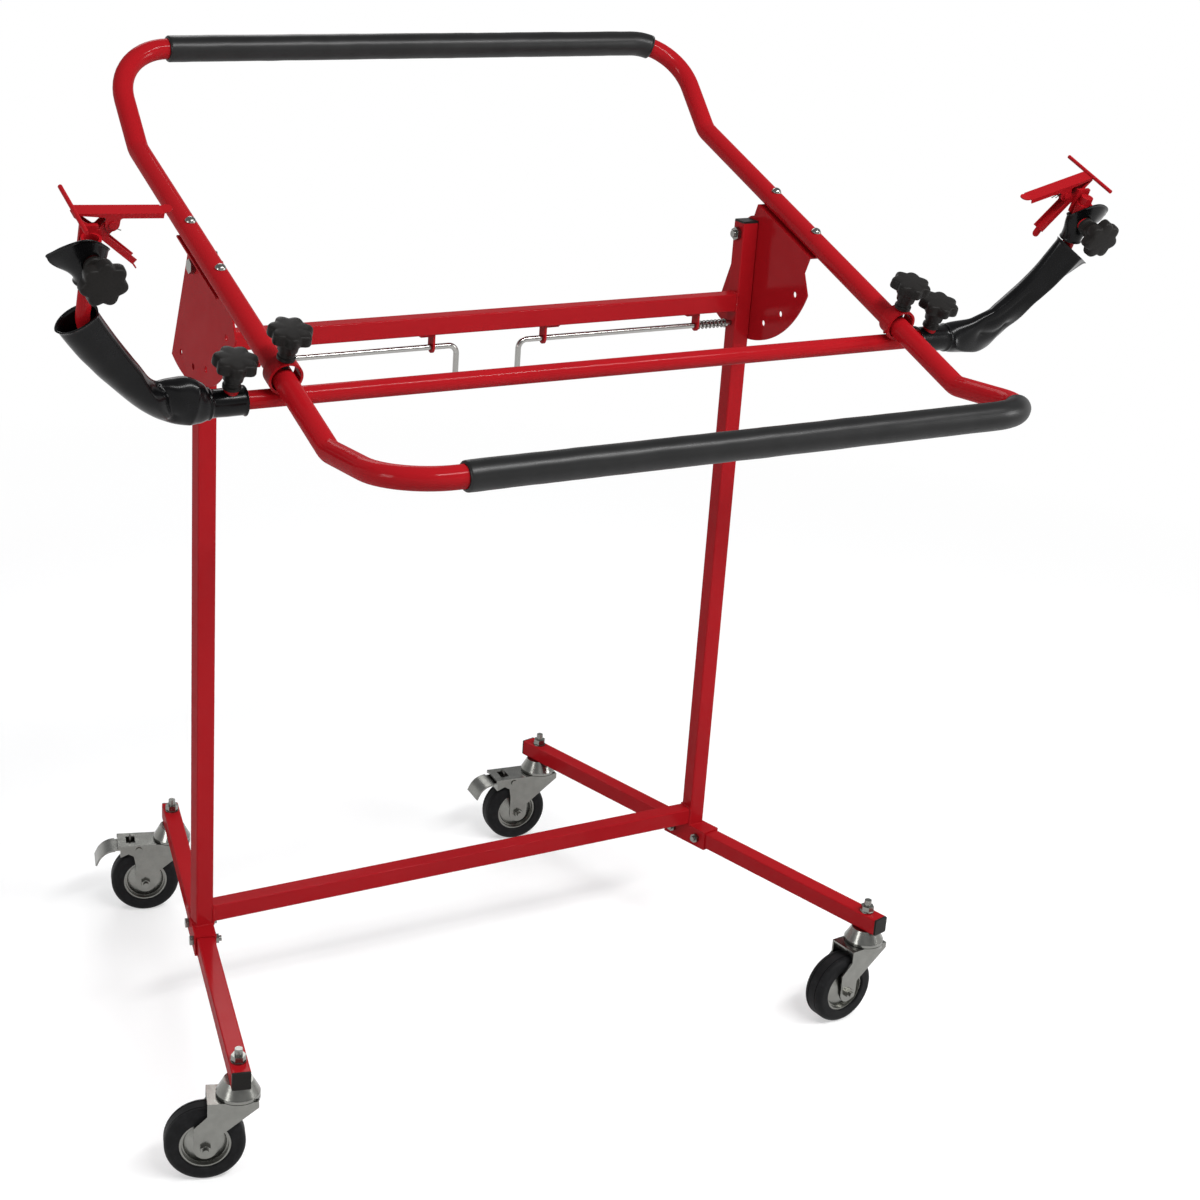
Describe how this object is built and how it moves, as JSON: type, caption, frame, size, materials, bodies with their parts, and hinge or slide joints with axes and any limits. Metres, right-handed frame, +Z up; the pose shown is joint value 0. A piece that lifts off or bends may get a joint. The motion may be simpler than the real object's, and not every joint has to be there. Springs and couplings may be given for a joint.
{
  "type": "bumper stand",
  "caption": "Wheeled square-tube stand with a tilting bow frame, foam bars and clamp arms that hold a bumper cover for painting or repair.",
  "frame": {"origin": "on the floor midway between the two uprights", "axes": "+X to the right along the crossbars, +Y to the back, +Z up"},
  "size_m": [1.4507, 1.0316, 1.3505],
  "materials": {
    "red_paint": "glossy red powder coat",
    "zinc_plate": "zinc-plated pressed steel",
    "bright_steel": "bright drawn steel",
    "spring_steel": "dark spring wire",
    "black_plastic": "satin black moulded plastic",
    "cover_rubber": "smooth black rubber",
    "foam": "matt closed-cell foam",
    "tyre_rubber": "black rubber"
  },
  "bodies": {
    "base": {"left_upright": "red_paint", "right_upright": "red_paint", "upper_crossbar": "red_paint", "lower_crossbar": "red_paint", "leg_sleeves": "red_paint", "left_leg": "red_paint", "right_leg": "red_paint", "end_caps": "black_plastic", "frame_bolts": "zinc_plate", "pin_guides": "red_paint", "caster_stems": "zinc_plate", "left_lock_spring": "spring_steel", "right_lock_spring": "spring_steel"},
    "head": {"left_tilt_plate": "red_paint", "right_tilt_plate": "red_paint", "upper_bow": "red_paint", "lower_bow": "red_paint", "upper_grip": "foam", "lower_grip": "foam", "bow_bolts": "zinc_plate"},
    "carriage": {"cross_tube": "red_paint", "slide_collars": "red_paint"},
    "left_arm_unit": {"left_arm": "red_paint", "left_arm_cover": "cover_rubber"},
    "left_clamp_unit": {"left_clamp_body": "red_paint", "left_clamp_cover": "cover_rubber", "left_jaw_spring": "spring_steel"},
    "left_jaw_unit": {"left_moving_jaw": "red_paint"},
    "left_slide_screw": {"left_slide_knob": "black_plastic"},
    "left_arm_screw": {"left_arm_knob": "black_plastic"},
    "left_clamp_screw": {"left_clamp_knob": "black_plastic"},
    "left_pin_unit": {"left_lock_pin": "bright_steel"},
    "right_arm_unit": {"right_arm": "red_paint", "right_arm_cover": "cover_rubber"},
    "right_clamp_unit": {"right_clamp_body": "red_paint", "right_clamp_cover": "cover_rubber", "right_jaw_spring": "spring_steel"},
    "right_jaw_unit": {"right_moving_jaw": "red_paint"},
    "right_slide_screw": {"right_slide_knob": "black_plastic"},
    "right_arm_screw": {"right_arm_knob": "black_plastic"},
    "right_clamp_screw": {"right_clamp_knob": "black_plastic"},
    "right_pin_unit": {"right_lock_pin": "bright_steel"},
    "front_left_swivel": {"front_left_fork": "zinc_plate", "front_left_axle": "zinc_plate"},
    "front_left_wheel": {"front_left_rim": "zinc_plate", "front_left_tyre": "tyre_rubber"},
    "front_right_swivel": {"front_right_fork": "zinc_plate", "front_right_axle": "zinc_plate"},
    "front_right_wheel": {"front_right_rim": "zinc_plate", "front_right_tyre": "tyre_rubber"},
    "rear_left_swivel": {"rear_left_fork": "zinc_plate", "rear_left_axle": "zinc_plate"},
    "rear_left_wheel": {"rear_left_rim": "zinc_plate", "rear_left_tyre": "tyre_rubber"},
    "rear_left_brake": {"rear_left_brake_pedal": "zinc_plate"},
    "rear_right_swivel": {"rear_right_fork": "zinc_plate", "rear_right_axle": "zinc_plate"},
    "rear_right_wheel": {"rear_right_rim": "zinc_plate", "rear_right_tyre": "tyre_rubber"},
    "rear_right_brake": {"rear_right_brake_pedal": "zinc_plate"}
  },
  "joints": [
    {"name": "head_tilt", "type": "hinge", "parent": "base", "child": "head", "pos_m": [0, 0, 1.102], "axis": [1, 0, 0], "range_deg": [-20, 60]},
    {"name": "carriage_slide", "type": "slide", "parent": "head", "child": "carriage", "axis": [0, -0.9397, -0.342], "range_m": [-0.14, 0.12]},
    {"name": "left_slide_screw_turn", "type": "hinge", "parent": "carriage", "child": "left_slide_screw", "pos_m": [-0.439, -0.32934, 1.06833], "axis": [0, -0.342, 0.9397], "continuous": true},
    {"name": "left_arm_turn", "type": "hinge", "parent": "carriage", "child": "left_arm_unit", "pos_m": [-0.535, -0.31077, 1.0173], "axis": [1, 0, 0], "range_deg": [-90, 90]},
    {"name": "left_arm_screw_turn", "type": "hinge", "parent": "left_arm_unit", "child": "left_arm_screw", "pos_m": [-0.5, -0.31737, 1.03544], "axis": [0, -0.342, 0.9397], "continuous": true},
    {"name": "left_clamp_turn", "type": "hinge", "parent": "left_arm_unit", "child": "left_clamp_unit", "pos_m": [-0.685, -0.38031, 1.20834], "axis": [0, -0.342, 0.9397], "continuous": true},
    {"name": "left_clamp_screw_turn", "type": "hinge", "parent": "left_clamp_unit", "child": "left_clamp_screw", "pos_m": [-0.685, -0.3944, 1.20321], "axis": [0, -0.9397, -0.342], "continuous": true},
    {"name": "left_jaw_open", "type": "hinge", "parent": "left_clamp_unit", "child": "left_jaw_unit", "pos_m": [-0.659, -0.371, 1.24418], "axis": [0, 0.9397, 0.342], "range_deg": [0, 18], "stiffness_Nm_per_rad": 1.5, "springref_deg": -17.19},
    {"name": "left_pin_slide", "type": "slide", "parent": "base", "child": "left_pin_unit", "axis": [-1, 0, 0], "range_m": [0, 0.008], "deforming": ["left_lock_spring"]},
    {"name": "right_slide_screw_turn", "type": "hinge", "parent": "carriage", "child": "right_slide_screw", "pos_m": [0.439, -0.32934, 1.06833], "axis": [0, -0.342, 0.9397], "continuous": true},
    {"name": "right_arm_turn", "type": "hinge", "parent": "carriage", "child": "right_arm_unit", "pos_m": [0.535, -0.31077, 1.0173], "axis": [1, 0, 0], "range_deg": [-90, 90]},
    {"name": "right_arm_screw_turn", "type": "hinge", "parent": "right_arm_unit", "child": "right_arm_screw", "pos_m": [0.5, -0.31737, 1.03544], "axis": [0, -0.342, 0.9397], "continuous": true},
    {"name": "right_clamp_turn", "type": "hinge", "parent": "right_arm_unit", "child": "right_clamp_unit", "pos_m": [0.685, -0.37073, 1.18203], "axis": [0, -0.342, 0.9397], "continuous": true},
    {"name": "right_clamp_screw_turn", "type": "hinge", "parent": "right_clamp_unit", "child": "right_clamp_screw", "pos_m": [0.685, -0.38482, 1.1769], "axis": [0, -0.9397, -0.342], "continuous": true},
    {"name": "right_jaw_open", "type": "hinge", "parent": "right_clamp_unit", "child": "right_jaw_unit", "pos_m": [0.659, -0.36143, 1.21787], "axis": [0, -0.9397, -0.342], "range_deg": [0, 18], "stiffness_Nm_per_rad": 1.5, "springref_deg": -17.19},
    {"name": "right_pin_slide", "type": "slide", "parent": "base", "child": "right_pin_unit", "axis": [1, 0, 0], "range_m": [0, 0.008], "deforming": ["right_lock_spring"]},
    {"name": "front_left_swivel_turn", "type": "hinge", "parent": "base", "child": "front_left_swivel", "pos_m": [-0.49287, -0.34519, 0.117], "axis": [0, 0, 1], "continuous": true},
    {"name": "front_left_wheel_spin", "type": "hinge", "parent": "front_left_swivel", "child": "front_left_wheel", "pos_m": [-0.53282, -0.33221, 0.052], "axis": [-0.309, -0.9511, 0], "continuous": true},
    {"name": "front_right_swivel_turn", "type": "hinge", "parent": "base", "child": "front_right_swivel", "pos_m": [0.49287, -0.34519, 0.117], "axis": [0, 0, 1], "continuous": true},
    {"name": "front_right_wheel_spin", "type": "hinge", "parent": "front_right_swivel", "child": "front_right_wheel", "pos_m": [0.4511, -0.34958, 0.052], "axis": [0.1045, -0.9945, 0], "continuous": true},
    {"name": "rear_left_swivel_turn", "type": "hinge", "parent": "base", "child": "rear_left_swivel", "pos_m": [-0.32713, 0.34519, 0.117], "axis": [0, 0, 1], "continuous": true},
    {"name": "rear_left_wheel_spin", "type": "hinge", "parent": "rear_left_swivel", "child": "rear_left_wheel", "pos_m": [-0.3675, 0.35677, 0.052], "axis": [-0.2756, -0.9613, 0], "continuous": true},
    {"name": "rear_left_brake_press", "type": "hinge", "parent": "rear_left_swivel", "child": "rear_left_brake", "pos_m": [-0.37711, 0.35952, 0.109], "axis": [-0.2756, -0.9613, 0], "range_deg": [0, 8]},
    {"name": "rear_right_swivel_turn", "type": "hinge", "parent": "base", "child": "rear_right_swivel", "pos_m": [0.32713, 0.34519, 0.117], "axis": [0, 0, 1], "continuous": true},
    {"name": "rear_right_wheel_spin", "type": "hinge", "parent": "rear_right_swivel", "child": "rear_right_wheel", "pos_m": [0.28536, 0.34958, 0.052], "axis": [-0.1045, -0.9945, 0], "continuous": true},
    {"name": "rear_right_brake_press", "type": "hinge", "parent": "rear_right_swivel", "child": "rear_right_brake", "pos_m": [0.27541, 0.35063, 0.109], "axis": [-0.1045, -0.9945, 0], "range_deg": [0, 8]}
  ]
}
